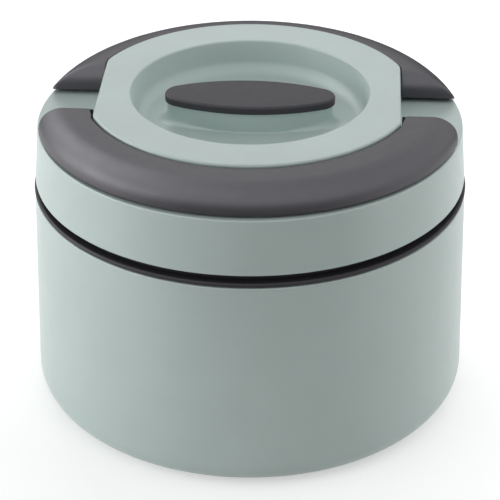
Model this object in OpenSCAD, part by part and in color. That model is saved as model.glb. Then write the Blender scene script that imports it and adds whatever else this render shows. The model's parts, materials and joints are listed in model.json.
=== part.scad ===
// Insulated food jar with a twist-off lid and two folding carrying handles.
// Millimetres. The origin is the centre of the base on the table, +Z is up and the front handle lies at -Y.

/* [Jar] */
// Height of the outer shell's top edge above the table
body_h = 88; // [75:1:140]
// Growth of the shell's radius from its top edge down to the table
base_flare = 2.2; // [0:0.1:4]
// How far the shell's top edge stands out past the lid
mouth_step = 0.4; // [0:0.1:1.2]
// Wall of the outer shell
shell_wall = 2.4; // [1.6:0.1:3.4]
// Radius of the rounded lower edge of the shell
base_round = 10; // [4:0.5:16]
// Radius of the opening in the shell's underside
base_hole_r = 58; // [40:1:64]
// Thickness of the base cover
cover_wall = 2; // [1.2:0.1:3]
// Height of the base cover's underside above the table
cover_rise = 0.8; // [0.4:0.1:1.6]
// Overlap of the base cover on the shell's floor
cover_lap = 6; // [3:0.5:9]

/* [Bowl and collar] */
// Depth of the steel bowl below its flange
bowl_depth = 74; // [50:1:78]
// Radius of the bowl's lower corner
bowl_round = 18; // [8:1:30]
// Sheet thickness of the bowl
bowl_wall = 1; // [0.6:0.1:1.6]
// Width of the bowl's flange
flange_w = 5; // [4:0.5:8]
// Thickness of the gasket under the bowl's flange
gasket_h = 0.8; // [0.5:0.1:1.5]
// Height of the collar's proud bead
bead_h = 2.8; // [2:0.1:5]
// How far the bead stands out past the shell's top edge
bead_proud = 0.2; // [0:0.1:1]
// Radius of the bead's edges
bead_round = 1.2; // [0.5:0.1:1.3]
// Height of the groove between the shell and the bead
bead_groove = 0.4; // [0.2:0.1:1]
// Depth of the grooves below and above the bead
groove_depth = 1; // [0.5:0.1:2]
// Height of the threaded neck above the bead
neck_h = 13; // [10:0.5:16]
// Wall of the threaded neck
neck_wall = 2.4; // [1.6:0.1:3]
// Radius of the neck's upper edges
neck_round = 0.8; // [0.2:0.1:0.8]
// Room for the thread between the neck and the lid
thread_room = 1.1; // [0.8:0.1:1.6]
// Depth of the collar's skirt inside the shell
collar_skirt_h = 8; // [4:0.5:12]
// Wall of the collar's skirt
collar_wall = 2; // [1.2:0.1:3]

/* [Lid] */
// Radius of the lid's lower edge
lid_r = 85; // [80:0.5:100]
// Gap between the bead and the lid's lower edge
lid_gap = 1.8; // [1:0.1:3]
// Height of the lid's side up to the ledge that the handles lie on
skirt_h = 22; // [20:0.5:30]
// Loss of radius from the lid's lower edge up to the ledge
skirt_taper = 1.7; // [0.5:0.1:3]
// Radius of the edge round the ledge
rim_round = 1.2; // [0.4:0.1:2]
// Wall of the lid
lid_wall = 2; // [1.4:0.1:2.6]
// Radius of the raised middle of the lid
plateau_r = 63.9; // [60:0.1:66]
// Height of the raised middle above the ledge
plateau_h = 12.4; // [10:0.1:16]
// Half the distance between the two flats of the raised middle
flat_x = 58.7; // [56:0.1:60.5]
// Radius of the raised middle's upper edges
edge_round = 1.2; // [0.4:0.1:2]
// Radius of the finger well at its rim
well_r = 46.7; // [42:0.1:49]
// Depth of the finger well
well_depth = 13; // [8:0.1:14]
// Loss of radius from the well's rim down to its floor
well_taper = 1.1; // [0.2:0.1:3]
// Radius of the hollow corner at the well's floor
well_cove = 5.5; // [1:0.5:6]
// Wall of the lid's inner liner
liner_wall = 1.8; // [1.2:0.1:2.4]
// Height of the seal under the liner
seal_h = 3.5; // [2:0.1:5]
// Width of the seal
seal_w = 3.3; // [2:0.1:4]
// Radius of the groove between the seal's two lips
seal_groove = 0.7; // [0.3:0.05:0.8]

/* [Grip] */
// Length of the grip pad
pad_len = 66.6; // [50:0.2:74]
// Width of the grip pad
pad_w = 25.2; // [20:0.2:30]
// Thickness of the grip pad
pad_h = 3.5; // [2.5:0.1:5]
// Radius of the pad's two ends
pad_end_r = 7; // [4:0.5:9]
// Radius of the pad's upper edge
pad_edge = 1; // [0.4:0.1:1.5]
// Depth of the pad's top below the raised middle
pad_drop = 1.4; // [0.5:0.1:3]
// How far the web under the pad stands back from the pad's edge
web_inset = 0.8; // [0.3:0.1:2]
// Wall of the hollow web under the pad
web_wall = 2; // [1.4:0.1:3]
// Distance between the two screws that hold the pad
pad_screw_gap = 34; // [20:1:40]

/* [Handles] */
// Gap between the raised middle and the handles
handle_gap = 0.7; // [0.5:0.1:1.5]
// Height of the handles' underside above the ledge
handle_seat = 0.4; // [0.3:0.1:1]
// Depth of the handles' top below the raised middle
handle_drop = 0.8; // [0.4:0.1:2]
// Width of the ledge left bare outside the handles
ledge_rim = 1; // [0.5:0.1:3]
// Half the distance between the two handles' ends
handle_end = 18; // [17:0.1:19]
// Corner radius of the handles' ends in plan
handle_corner = 2; // [1:0.5:6]
// Width of the front handle's level top
front_flat = 8.3; // [4:0.1:10]
// Height of the front handle's outer edge above its underside
front_edge_h = 2.1; // [1:0.1:4]
// Width of the rear handle's level top
rear_flat = 0.3; // [0.1:0.1:6]
// Height of the rear handle's outer edge above its underside
rear_edge_h = 1.2; // [0.8:0.1:3]
// Radius of the upper edge of the rear handle's ends
rear_end_round = 8.5; // [2:0.1:9]
// Width that the handles' inner corners are cut back by at their ends
notch_w = 1.6; // [0.5:0.1:2]
// Length of that cut
notch_l = 6; // [3:0.5:7]
// Depth of that cut below the handles' top
notch_h = 5; // [2:0.1:6]

/* [Handle underside] */
// Thickness of the underside plate
plate_h = 1.6; // [1.2:0.1:2.4]
// Share of the handle's width left inside the underside plate
plate_inner = 0.17; // [0.12:0.01:0.24]
// Share of the handle's width left outside the underside plate
plate_outer = 0.28; // [0.22:0.01:0.34]
// Distance from the hinge axis to the end of the underside plate
plate_end = 8; // [6:0.5:14]
// Height of the hollow above the underside plate
hollow_h = 2.4; // [1.5:0.1:3]
// Width of the shelf that the underside plate rests on
shelf_w = 1.4; // [0.8:0.1:2]
// Angle between neighbouring underside screws
plate_screw_angle = 40; // [25:1:45]

/* [Hinges and screws] */
// Distance of the hinge axes from the middle of the lid
hinge_y = 22; // [21.5:0.1:23]
// Height of the hinge axes above the ledge
hinge_h = 7.6; // [7.2:0.1:8.2]
// Diameter of the hinge pins
pin_d = 2.8; // [2:0.1:3.2]
// Length of a hinge pin inside the lid
pin_inside = 7; // [4:0.5:8]
// Length of a hinge pin inside the handle
pin_reach = 6.5; // [4:0.5:8]
// Radius of the bosses round the hinge pins inside the lid
boss_r = 3.2; // [2.6:0.1:3.6]
// Diameter of the screws' shanks
screw_d = 2.4; // [1.6:0.1:3]
// Diameter of the screws' heads
screw_head_d = 4.6; // [3.6:0.1:5]
// Height of the screws' heads
screw_head_h = 1; // [0.6:0.1:1.1]
// Length of the screws' shanks beyond what they clamp
screw_bite = 2; // [1:0.1:2.2]

/* [Clearances] */
// Running clearance round a hinge pin
pin_fit = 0.05; // [0.01:0.01:0.1]
// Gap between pieces that are fitted together
fit = 0.15; // [0.05:0.05:0.3]
// Gap between pieces that turn or slide past each other
slack = 0.4; // [0.3:0.05:0.6]

/* [Hidden] */
$fn = 128;
FAR = 400;
sage = [0.70, 0.76, 0.73];
graphite = [0.24, 0.24, 0.26];
steel = [0.75, 0.75, 0.77];
foam_white = [0.95, 0.93, 0.85];
seal_grey = [0.82, 0.83, 0.83];
liner_grey = [0.62, 0.66, 0.65];

// Heights, from the table up
z_bead = body_h + bead_groove;
z_seat = z_bead + bead_h;
z_lid = z_seat + lid_gap;
z_ledge = z_lid + skirt_h;
z_top = z_ledge + plateau_h;
z_well = z_top - well_depth;
z_roof = min(z_ledge, z_well) - lid_wall;
z_flange = z_seat + gasket_h + bowl_wall;
z_bowl = z_flange - bowl_depth;
z_neck = z_seat + neck_h;
z_seal = z_flange + slack;
z_disc = z_seal + seal_h;
z_liner = z_neck + slack + liner_wall;
z_cover = shell_wall + cover_wall;
z_handle = z_ledge + handle_seat;
z_crown = z_top - handle_drop;
z_hinge = z_ledge + hinge_h;
z_pad = z_top - pad_drop - pad_h;

// Radii, from the outside in
mouth_r = lid_r + mouth_step;
base_r = mouth_r + base_flare;
bead_r = mouth_r + bead_proud;
ledge_r = lid_r - skirt_taper;
ring_r = ledge_r - lid_wall - fit;
thread_r = ring_r - liner_wall;
neck_r = thread_r - thread_room;
neck_in = neck_r - neck_wall;
plug_r = neck_in - slack;
plug_in = plug_r - liner_wall;
seal_in = plug_r - seal_w;
bowl_r = neck_in - flange_w;
collar_in = bowl_r + bowl_wall + fit;
handle_in = plateau_r + handle_gap;
handle_out = ledge_r - ledge_rim;

// Plan of the handles' ends
side_x = flat_x + slack;
tip_y = handle_end + handle_corner;
tip_x = sqrt((handle_out - handle_corner) ^ 2 - tip_y ^ 2);
arc_y = tip_y * handle_out / (handle_out - handle_corner);
plate_in = handle_in + plate_inner * (handle_out - handle_in);
plate_out = handle_out - plate_outer * (handle_out - handle_in);
plate_mid = (plate_in + plate_out) / 2;
lug_r = hinge_h - slack * 3 / 4;

// A rectangle in the section plane, from radius r0 to r1 and height z0 to z1
module section(r0, r1, z0, z1) translate([r0, z0]) square([r1 - r0, z1 - z0]);

// Cutter that rounds an outer corner at the origin, whose sides run towards -X and -Y
module corner_cutter(r) translate([-r, -r]) difference() {
    square(2 * r);
    circle(r);
}

// Radius of the outer shell's side at height z
function side_r(z) = mouth_r + base_flare * (1 - z / body_h);

// Radius of the lid's side at height z
function skirt_r(z) = lid_r - skirt_taper * (z - z_lid) / skirt_h;

// Section of the outer shell, filled, moved inwards by inset and closed at height top
module shell_section(inset, top) {
    centre_r = side_r(base_round) - base_round;
    polygon([
        [0, inset], [centre_r, inset], [centre_r, base_round], [side_r(base_round) - inset, base_round],
        [side_r(top) - inset, top], [0, top]
    ]);
    translate([centre_r, base_round]) circle(base_round - inset);
}

// Section of the bowl, filled, grown outwards by grow and closed at height top
module bowl_section(grow, top) {
    section(0, bowl_r - bowl_round, z_bowl - grow, top);
    section(0, bowl_r + grow, z_bowl + bowl_round, top);
    translate([bowl_r - bowl_round, z_bowl + bowl_round]) circle(bowl_round + grow);
}

module outer_shell() color(sage) rotate_extrude() difference() {
    shell_section(0, body_h);
    shell_section(shell_wall, body_h + FAR);
    section(0, base_hole_r, -1, shell_wall + 1);
    translate([mouth_r, body_h]) corner_cutter(edge_round / 2);
}

module base_cover() color(graphite) rotate_extrude() {
    section(0, base_hole_r - fit, cover_rise, z_cover);
    section(0, base_hole_r + cover_lap, shell_wall, z_cover);
}

module body_insulation() color(foam_white) rotate_extrude() difference() {
    intersection() {
        shell_section(shell_wall + fit, body_h);
        section(0, FAR, z_cover + fit, body_h - collar_skirt_h - fit);
    }
    bowl_section(bowl_wall + fit, body_h + FAR);
}

module inner_bowl() color(steel) rotate_extrude() difference() {
    union() {
        bowl_section(bowl_wall, z_flange);
        section(bowl_r, neck_in - fit, z_flange - bowl_wall, z_flange);
    }
    bowl_section(0, z_flange + 1);
}

// Section of the collar's bead: a bar with two rounded outer edges
module bead_section() difference() {
    section(collar_in, bead_r, z_bead, z_seat);
    translate([bead_r, z_seat]) corner_cutter(bead_round);
    translate([bead_r, z_bead]) mirror([0, 1]) corner_cutter(bead_round);
}

// Section of the threaded neck, with its two upper edges rounded
module neck_section() difference() {
    section(neck_in, neck_r, z_seat, z_neck);
    translate([neck_r, z_neck]) corner_cutter(neck_round);
    translate([neck_in, z_neck]) mirror([1, 0]) corner_cutter(neck_round);
}

module collar() color(graphite) rotate_extrude() {
    skirt_out = mouth_r - shell_wall - fit;
    section(collar_in, mouth_r - groove_depth, body_h, z_seat);
    bead_section();
    neck_section();
    section(skirt_out - collar_wall, skirt_out, body_h - collar_skirt_h, body_h);
}

module bowl_gasket() color(seal_grey) rotate_extrude()
    section(collar_in, neck_in - fit, z_seat, z_seat + gasket_h);

module lid_seal() color(seal_grey) rotate_extrude() difference() {
    section(seal_in, plug_r, z_seal, z_disc - slack / 4);
    translate([plug_r - seal_w / 2, z_seal]) circle(seal_groove);
}

// Section of the lid's side and ledge, filled from height low up to top and moved inwards by inset
module lid_section(inset, low, top) polygon([
    [0, low], [skirt_r(low) - inset, low], [ledge_r - inset, top], [0, top]
]);

// Section of the finger well, open at the top, with a hollow corner at its floor and a rounded rim
module well_section() {
    floor_r = well_r - well_taper;
    cove_z = z_well + well_cove;
    section(0, floor_r - well_cove, z_well, z_top + 1);
    polygon([[0, cove_z], [floor_r, cove_z], [well_r, z_top], [well_r, z_top + 1], [0, z_top + 1]]);
    translate([floor_r - well_cove, cove_z]) circle(well_cove);
    translate([well_r, z_top]) mirror([1, 0]) corner_cutter(edge_round);
}

// Plan of the raised middle: a circle with two flats, moved inwards by inset
module plateau_plan(inset) intersection() {
    circle(plateau_r - inset);
    square([2 * (flat_x - inset), 2 * plateau_r], center = true);
}

module plateau() difference() {
    translate([0, 0, z_ledge - lid_wall]) linear_extrude(plateau_h + lid_wall) plateau_plan(0);
    rotate_extrude() translate([plateau_r, z_top]) corner_cutter(edge_round);
    for (side = [0, 1]) mirror([side, 0, 0])
        rotate([90, 0, 0]) linear_extrude(FAR, center = true)
            translate([flat_x, z_top]) corner_cutter(edge_round);
}

// Hollow inside the raised middle, round the well
module plateau_hollow() difference() {
    translate([0, 0, z_lid]) linear_extrude(z_top - lid_wall - z_lid) plateau_plan(lid_wall);
    translate([0, 0, z_well - lid_wall]) cylinder(r = well_r + lid_wall, h = FAR);
}

// Oval plan of the grip, made of two wide arcs and two end arcs, moved inwards by inset
module grip_plan(inset) {
    end_x = pad_len / 2 - pad_end_r;
    half_w = pad_w / 2;
    side_arc = (end_x * end_x / (half_w - pad_end_r) + pad_end_r + half_w) / 2;
    join_x = end_x * (side_arc - inset) / (side_arc - pad_end_r);
    intersection() {
        translate([0, half_w - side_arc]) circle(side_arc - inset);
        translate([0, side_arc - half_w]) circle(side_arc - inset);
        square([2 * join_x, pad_w], center = true);
    }
    for (side = [-1, 1]) translate([side * end_x, 0]) circle(pad_end_r - inset);
}

// Places its children at the two screws of the grip pad
module at_pad_screws() for (side = [-1, 1]) translate([side * pad_screw_gap / 2, 0, 0]) children();

// Places its child, which points along +X, at the four hinges, or at the two of one handle
module at_hinges(rows = [-1, 1]) for (row = rows, side = [0, 1])
    mirror([side, 0, 0]) translate([flat_x, row * hinge_y, z_hinge]) rotate([0, 90, 0]) children();

module lid_cover() color(sage) difference() {
    union() {
        difference() {
            union() {
                rotate_extrude() difference() {
                    lid_section(0, z_lid, z_ledge);
                    translate([ledge_r, z_ledge]) corner_cutter(rim_round);
                }
                plateau();
            }
            rotate_extrude() lid_section(lid_wall, z_lid - 1, z_roof);
            plateau_hollow();
            rotate_extrude() well_section();
        }
        translate([0, 0, z_well - lid_wall / 2]) linear_extrude(z_pad - z_well + lid_wall / 2) grip_plan(web_inset);
        intersection() {
            at_hinges() translate([0, 0, -pin_inside - lid_wall]) cylinder(r = boss_r, h = pin_inside + lid_wall);
            translate([0, 0, z_ledge]) linear_extrude(plateau_h - lid_wall / 2) plateau_plan(lid_wall / 2);
        }
    }
    translate([0, 0, z_lid]) linear_extrude(z_pad - web_wall - z_lid) grip_plan(web_inset + web_wall);
    at_pad_screws() translate([0, 0, z_pad - web_wall - 1]) cylinder(d = screw_d + 2 * fit, h = web_wall + 2);
    at_hinges() translate([0, 0, -pin_inside - fit]) cylinder(d = pin_d + 2 * pin_fit, h = pin_inside + lid_wall);
}

module lid_insulation() color(foam_white) rotate_extrude() {
    section(0, plug_in - fit, z_disc + liner_wall + fit, z_liner + fit);
    section(0, ring_r - fit, z_liner + fit, z_roof - fit);
}

module lid_liner() color(liner_grey) rotate_extrude() {
    rib_r = seal_in - slack;
    section(0, plug_r, z_disc, z_disc + liner_wall);
    section(plug_in, plug_r, z_disc, z_liner);
    section(plug_in, ring_r, z_liner - liner_wall, z_liner);
    section(thread_r, ring_r, z_lid + slack, z_liner);
    section(rib_r - liner_wall, rib_r, z_disc - seal_h / 2, z_disc);
}

// Rounded upper edge in a few steps of a quarter circle
module grip_pad() color(graphite) difference() {
    hull() {
        translate([0, 0, z_pad]) linear_extrude(pad_h - pad_edge) grip_plan(0, $fn = 48);
        for (turn = [30, 60, 90])
            translate([0, 0, z_pad + pad_h / 2])
                linear_extrude(pad_h / 2 - pad_edge * (1 - sin(turn)))
                    grip_plan(pad_edge * (1 - cos(turn)), $fn = 48);
    }
    at_pad_screws() translate([0, 0, z_pad - 1]) cylinder(d = screw_d, h = screw_bite + 1 + fit);
}

module screw(shank) {
    translate([0, 0, -screw_head_h]) cylinder(d = screw_head_d, h = screw_head_h);
    cylinder(d = screw_d, h = shank);
}

module grip_screws() color(steel) at_pad_screws() translate([0, 0, z_pad - web_wall]) screw(web_wall + screw_bite);

module hinge_pins(row) color(graphite) at_hinges([row]) translate([0, 0, -pin_inside])
    cylinder(d = pin_d, h = pin_inside + slack + pin_reach);

module front_hinge_pins() hinge_pins(-1);

module rear_hinge_pins() hinge_pins(1);

// Section of a handle: a level top flat_w wide, then one arc down to its outer edge
module handle_section(flat_w, edge_h) {
    arc_start = handle_in + flat_w;
    drop = z_crown - z_handle - edge_h;
    run = handle_out - arc_start;
    arc_r = (run * run + drop * drop) / (2 * drop);
    intersection() {
        section(flat_x, handle_out, z_handle, z_crown);
        union() {
            section(flat_x, arc_start, z_handle, z_crown);
            section(flat_x, handle_out, z_handle, z_crown - drop);
            translate([arc_start, z_crown - arc_r]) circle(arc_r);
        }
    }
}

// Plan of the front handle: the ledge in front of its end line, less the raised middle and its gap
module handle_plan() difference() {
    union() {
        translate([0, -arc_y - FAR / 2]) square(FAR, center = true);
        translate([0, -handle_end - FAR / 2]) square([2 * tip_x, FAR], center = true);
        for (side = [-1, 1]) translate([side * tip_x, -tip_y]) circle(handle_corner);
    }
    intersection() {
        circle(handle_in);
        square([2 * side_x, FAR], center = true);
    }
}

// Plan of the cuts at the inner corners of the front handle's ends
module notch_plan() for (side = [-1, 1]) polygon([
    [side * (side_x - notch_w), -handle_end - 2 * notch_l], [side * (side_x + 2 * notch_w), -handle_end + notch_l],
    [side * (side_x - notch_w), -handle_end + notch_l]
]);

// Plan of a handle's underside plate, moved inwards by inset
module plate_plan(inset) difference() {
    circle(plate_out - inset);
    circle(plate_in + inset);
    translate([0, FAR / 2 - hinge_y - plate_end - inset]) square(FAR, center = true);
}

// Places its children at the underside screws of the front handle
module at_plate_screws() for (turn = [-1, 0, 1])
    rotate(turn * plate_screw_angle) translate([0, -plate_mid, z_handle]) children();

// What is cut away below the hinge axis, so that a handle's ends turn clear of the ledge
module end_relief() difference() {
    translate([-FAR / 2, -hinge_y, z_handle - 1]) cube([FAR, hinge_y, hinge_h]);
    translate([0, -hinge_y, z_hinge]) rotate([0, 90, 0]) cylinder(r = lug_r, h = 2 * FAR, center = true);
}

// A handle in the front handle's place
module handle(flat_w, edge_h) color(graphite) difference() {
    intersection() {
        rotate_extrude() handle_section(flat_w, edge_h);
        translate([0, 0, z_handle - 1]) linear_extrude(plateau_h) handle_plan();
    }
    end_relief();
    translate([0, 0, z_crown - notch_h]) linear_extrude(notch_h + 1) notch_plan();
    at_hinges([-1]) translate([0, 0, -pin_inside])
        cylinder(d = pin_d + 2 * pin_fit, h = pin_inside + slack + pin_reach + fit);
    translate([0, 0, z_handle - 1]) linear_extrude(plate_h + 1) plate_plan(-fit);
    difference() {
        translate([0, 0, z_handle]) linear_extrude(plate_h + hollow_h) plate_plan(shelf_w);
        at_plate_screws() cylinder(d = screw_head_d, h = plate_h + hollow_h + 1);
    }
    at_plate_screws() cylinder(d = screw_d, h = plate_h + screw_bite + fit);
}

// The underside plate of a handle, in the front handle's place
module handle_plate() color(graphite) difference() {
    translate([0, 0, z_handle]) linear_extrude(plate_h) plate_plan(0);
    at_plate_screws() translate([0, 0, -1]) {
        cylinder(d = screw_head_d + 2 * fit, h = screw_head_h + 1);
        cylinder(d = screw_d + 2 * fit, h = plate_h + 2);
    }
}

module handle_screws() color(steel) at_plate_screws() translate([0, 0, screw_head_h])
    screw(plate_h - screw_head_h + screw_bite);

module front_handle() handle(front_flat, front_edge_h);

module front_handle_plate() handle_plate();

module front_handle_screws() handle_screws();

// The rear handle's ends are rounded from the top down
module rear_handle() rotate(180) color(graphite) difference() {
    handle(rear_flat, rear_edge_h);
    rotate([90, 0, 90]) linear_extrude(FAR, center = true)
        translate([-handle_end, z_crown]) corner_cutter(rear_end_round);
}

module rear_handle_plate() rotate(180) handle_plate();

module rear_handle_screws() rotate(180) handle_screws();

outer_shell();
base_cover();
body_insulation();
inner_bowl();
collar();
bowl_gasket();
lid_seal();
lid_cover();
lid_insulation();
lid_liner();
grip_pad();
grip_screws();
front_hinge_pins();
rear_hinge_pins();
front_handle();
front_handle_plate();
front_handle_screws();
rear_handle();
rear_handle_plate();
rear_handle_screws();
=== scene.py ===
"""Insulated food jar with a twist-off lid and two folding handles: shells, finishes, light and camera."""
import json
import math

import bmesh
import bpy
import numpy as np
from bpy.props import FloatProperty, FloatVectorProperty, PointerProperty
from mathutils import Matrix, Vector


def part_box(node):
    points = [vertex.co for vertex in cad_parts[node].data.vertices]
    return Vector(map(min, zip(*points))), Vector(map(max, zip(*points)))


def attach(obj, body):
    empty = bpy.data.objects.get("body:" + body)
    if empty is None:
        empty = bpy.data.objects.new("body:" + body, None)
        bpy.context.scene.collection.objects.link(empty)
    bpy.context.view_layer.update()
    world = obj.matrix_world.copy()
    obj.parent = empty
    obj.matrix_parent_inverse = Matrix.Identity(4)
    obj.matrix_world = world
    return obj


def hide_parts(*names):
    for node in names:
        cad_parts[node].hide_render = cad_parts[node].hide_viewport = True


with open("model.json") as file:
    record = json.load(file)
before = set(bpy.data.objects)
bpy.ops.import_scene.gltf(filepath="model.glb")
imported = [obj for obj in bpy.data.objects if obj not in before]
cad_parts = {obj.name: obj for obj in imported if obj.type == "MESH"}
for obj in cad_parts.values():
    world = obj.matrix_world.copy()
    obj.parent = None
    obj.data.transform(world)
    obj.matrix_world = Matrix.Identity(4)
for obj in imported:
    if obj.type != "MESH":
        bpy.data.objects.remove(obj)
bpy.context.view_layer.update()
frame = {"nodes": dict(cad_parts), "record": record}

bl_info = {
    "name": "Insulated Food Jar",
    "version": (1, 0, 0),
    "blender": (4, 5, 0),
    "location": "View3D > Sidebar > Food Jar",
    "description": "Dresses the frame of an insulated food jar with its shells, finishes, light and camera",
    "category": "Object",
}

MM = 0.001

# Columns of the turned pieces, of the lid cover and of the grip pad
COLUMNS = 256
LID_COLUMNS = 440
PAD_COLUMNS = 400
# Points closer than this are one point, and faces that meet at more than this angle keep a sharp edge
WELD = 1e-6
CREASE = math.radians(38)
# Gap between pieces that are pushed into each other
FIT = 0.15 * MM
# Ridges of the thread
THREAD_STARTS = 4

# Stage: half the floor's side, how far it lies under the jar and the cards lie over it, the height on the
# jar's axis that lamps and cards face, and the camera's sensor in millimetres
FLOOR_HALF = 3.0
FLOOR_GAP = 0.05 * MM
CARD_GAP = 1 * MM
AIM_HEIGHT = 0.07
SENSOR_WIDTH = 36


# Sizes that the frame already holds

def reach(node):
    """Largest radius of a round node, at the side where its facets reach least far."""
    return min(-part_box(node)[0].x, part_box(node)[1].x)


def foot(node):
    """Lowest height of a node."""
    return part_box(node)[0].z


def top(node):
    """Greatest height of a node."""
    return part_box(node)[1].z


# Properties

def length(name, description, default):
    """A size in metres."""
    return FloatProperty(name=name, description=description, default=default, min=0, precision=5,
                         subtype="DISTANCE", unit="LENGTH")


def angle(name, description, degrees):
    """An angle, given in degrees."""
    return FloatProperty(name=name, description=description, default=math.radians(degrees), subtype="ANGLE",
                         unit="ROTATION")


def factor(name, description, default):
    """A plain number from 0 to 1."""
    return FloatProperty(name=name, description=description, default=default, min=0, max=1, subtype="FACTOR")


def power(name, description, default):
    """A lamp's power in watts."""
    return FloatProperty(name=name, description=description, default=default, min=0, unit="POWER")


def strength(name, description, default):
    """How bright a light or a backdrop looks, where 1 is white."""
    return FloatProperty(name=name, description=description, default=default, min=0)


def colour(name, description, default):
    """A linear colour."""
    return FloatVectorProperty(name=name, description=description, default=default, size=3, min=0, max=1,
                               subtype="COLOR")


class JarSizes(bpy.types.PropertyGroup):
    """Sizes of what stays on the table when the lid is off."""
    height: length("Height", "Height of the outer shell's top edge", top("outer_shell"))
    mouth_radius: length("Mouth radius", "Radius of the shell's top edge", reach("lid_cover") + 0.4 * MM)
    side_radius: length("Side radius", "Radius of the side where the base round starts", reach("outer_shell"))
    base_round: length("Base round", "Radius of the shell's lower edge", 10 * MM)
    mouth_round: length("Mouth round", "Radius of the shell's top edge round", 0.6 * MM)
    shell_wall: length("Shell wall", "Wall of the outer shell", 2.4 * MM)
    base_hole: length("Base hole", "Radius of the opening in the underside", 58 * MM)
    cover_round: length("Cover round", "Radius of the base cover's lower edge", 0.5 * MM)
    cover_ring: length("Cover ring", "Radius of the groove in the base cover", 47 * MM)
    cover_groove: length("Cover groove", "Depth of the groove in the base cover", 0.6 * MM)
    bead_radius: length("Bead radius", "Radius of the dark bead", reach("collar"))
    bead_gap: length("Bead gap", "Height of the groove below the bead", 0.4 * MM)
    bead_height: length("Bead height", "Height from the groove below the bead up to the lid's seat", 2.8 * MM)
    bead_round: length("Bead round", "Radius of the bead's edges", 0.83 * MM)
    groove_depth: length("Groove depth", "Depth of the groove below the bead", 1 * MM)
    slot_height: length("Slot height", "Height of the dark slot between the bead and the lid", 1.1 * MM)
    slot_depth: length("Slot depth", "Depth of the slot between the bead and the lid", 4 * MM)
    neck_radius: length("Neck radius", "Radius of the threaded neck", 78.25 * MM)
    neck_wall: length("Neck wall", "Wall of the threaded neck", 2.4 * MM)
    neck_round: length("Neck round", "Radius of the neck's upper edges", 0.8 * MM)
    seat_width: length("Seat width", "Width of the shelf in the neck that carries the bowl", 3.85 * MM)
    collar_wall: length("Collar wall", "Wall of the collar's skirt inside the shell", 2 * MM)
    thread_lead: length("Thread lead", "Rise of the thread in one turn", 16 * MM)
    thread_width: length("Thread width", "Width of a thread ridge", 2.2 * MM)
    thread_proud: length("Thread height", "How far a thread ridge stands out of the neck", 0.65 * MM)
    thread_span: angle("Thread span", "Angle that one thread ridge runs round the neck", 80)
    bowl_round: length("Bowl round", "Radius of the bowl's lower corner", 18 * MM)
    bowl_wall: length("Bowl wall", "Sheet thickness of the bowl", 1 * MM)
    flange_width: length("Flange width", "Width of the bowl's flange", 4.85 * MM)
    flange_round: length("Flange round", "Radius of the bend into the flange", 1.6 * MM)


class LidSizes(bpy.types.PropertyGroup):
    """Sizes of the lid's cover and of the grip in its well."""
    radius: length("Radius", "Radius of the lid's lower edge", reach("lid_cover"))
    taper: length("Taper", "Loss of radius from the lower edge up to the ledge", 1.7 * MM)
    wall: length("Wall", "Wall of the lid", 2 * MM)
    foot_round: length("Foot round", "Radius of the lid's lower edge round", 0.5 * MM)
    rim_round: length("Rim round", "Radius of the edge round the ledge", 0.6 * MM)
    middle_height: length("Middle height", "Height of the raised middle above the ledge", 12.4 * MM)
    middle_radius: length("Middle radius", "Radius of the raised middle", 63.9 * MM)
    middle_flat: length("Middle flat", "Distance of the raised middle's flats from the axis", 58.7 * MM)
    middle_blend: length("Corner blend", "Softness of the corners where the flats meet the round", 0.3 * MM)
    edge_round: length("Edge round", "Radius of the raised middle's upper edges", 0.8 * MM)
    foot_cove: length("Foot cove", "Radius of the hollow corner at the foot of the raised middle", 0.4 * MM)
    well_radius: length("Well radius", "Radius of the finger well at its rim", 46.7 * MM)
    well_depth: length("Well depth", "Depth of the finger well", 13 * MM)
    well_lean: angle("Well lean", "Lean of the well's wall", 8.34)
    well_cove: length("Well cove", "Radius of the hollow corner at the well's floor", 5.5 * MM)
    web_inset: length("Web inset", "How far the web stands back from the pad's edge", 0.8 * MM)
    web_round: length("Web round", "Radius of the web's upper edge", 0.5 * MM)
    web_flare: length("Web flare", "Radius of the hollow corner at the web's foot", 0.5 * MM)
    web_sweep: length("Web sweep", "How much larger that corner is at the web's two ends", 3.6 * MM)
    pad_end: length("Pad end", "Radius of the pad's two ends", 7 * MM)
    pad_edge: length("Pad edge", "Radius of the pad's upper edge", 1 * MM)
    pad_foot: length("Pad foot", "Radius of the pad's lower edge", 0.3 * MM)
    pad_crown: length("Pad crown", "Rise of the pad's top from its edge to its middle", 0.25 * MM)
    seal_width: length("Seal width", "Width of the seal's ring", 3.3 * MM)
    seal_lip: length("Seal lip", "Radius of the seal's two lips", 0.75 * MM)
    seal_bevel: length("Seal bevel", "Bevel of the seal's back", 0.2 * MM)
    seal_waist: length("Seal waist", "How far the seal's sides draw in at half height", 0.3 * MM)


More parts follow.
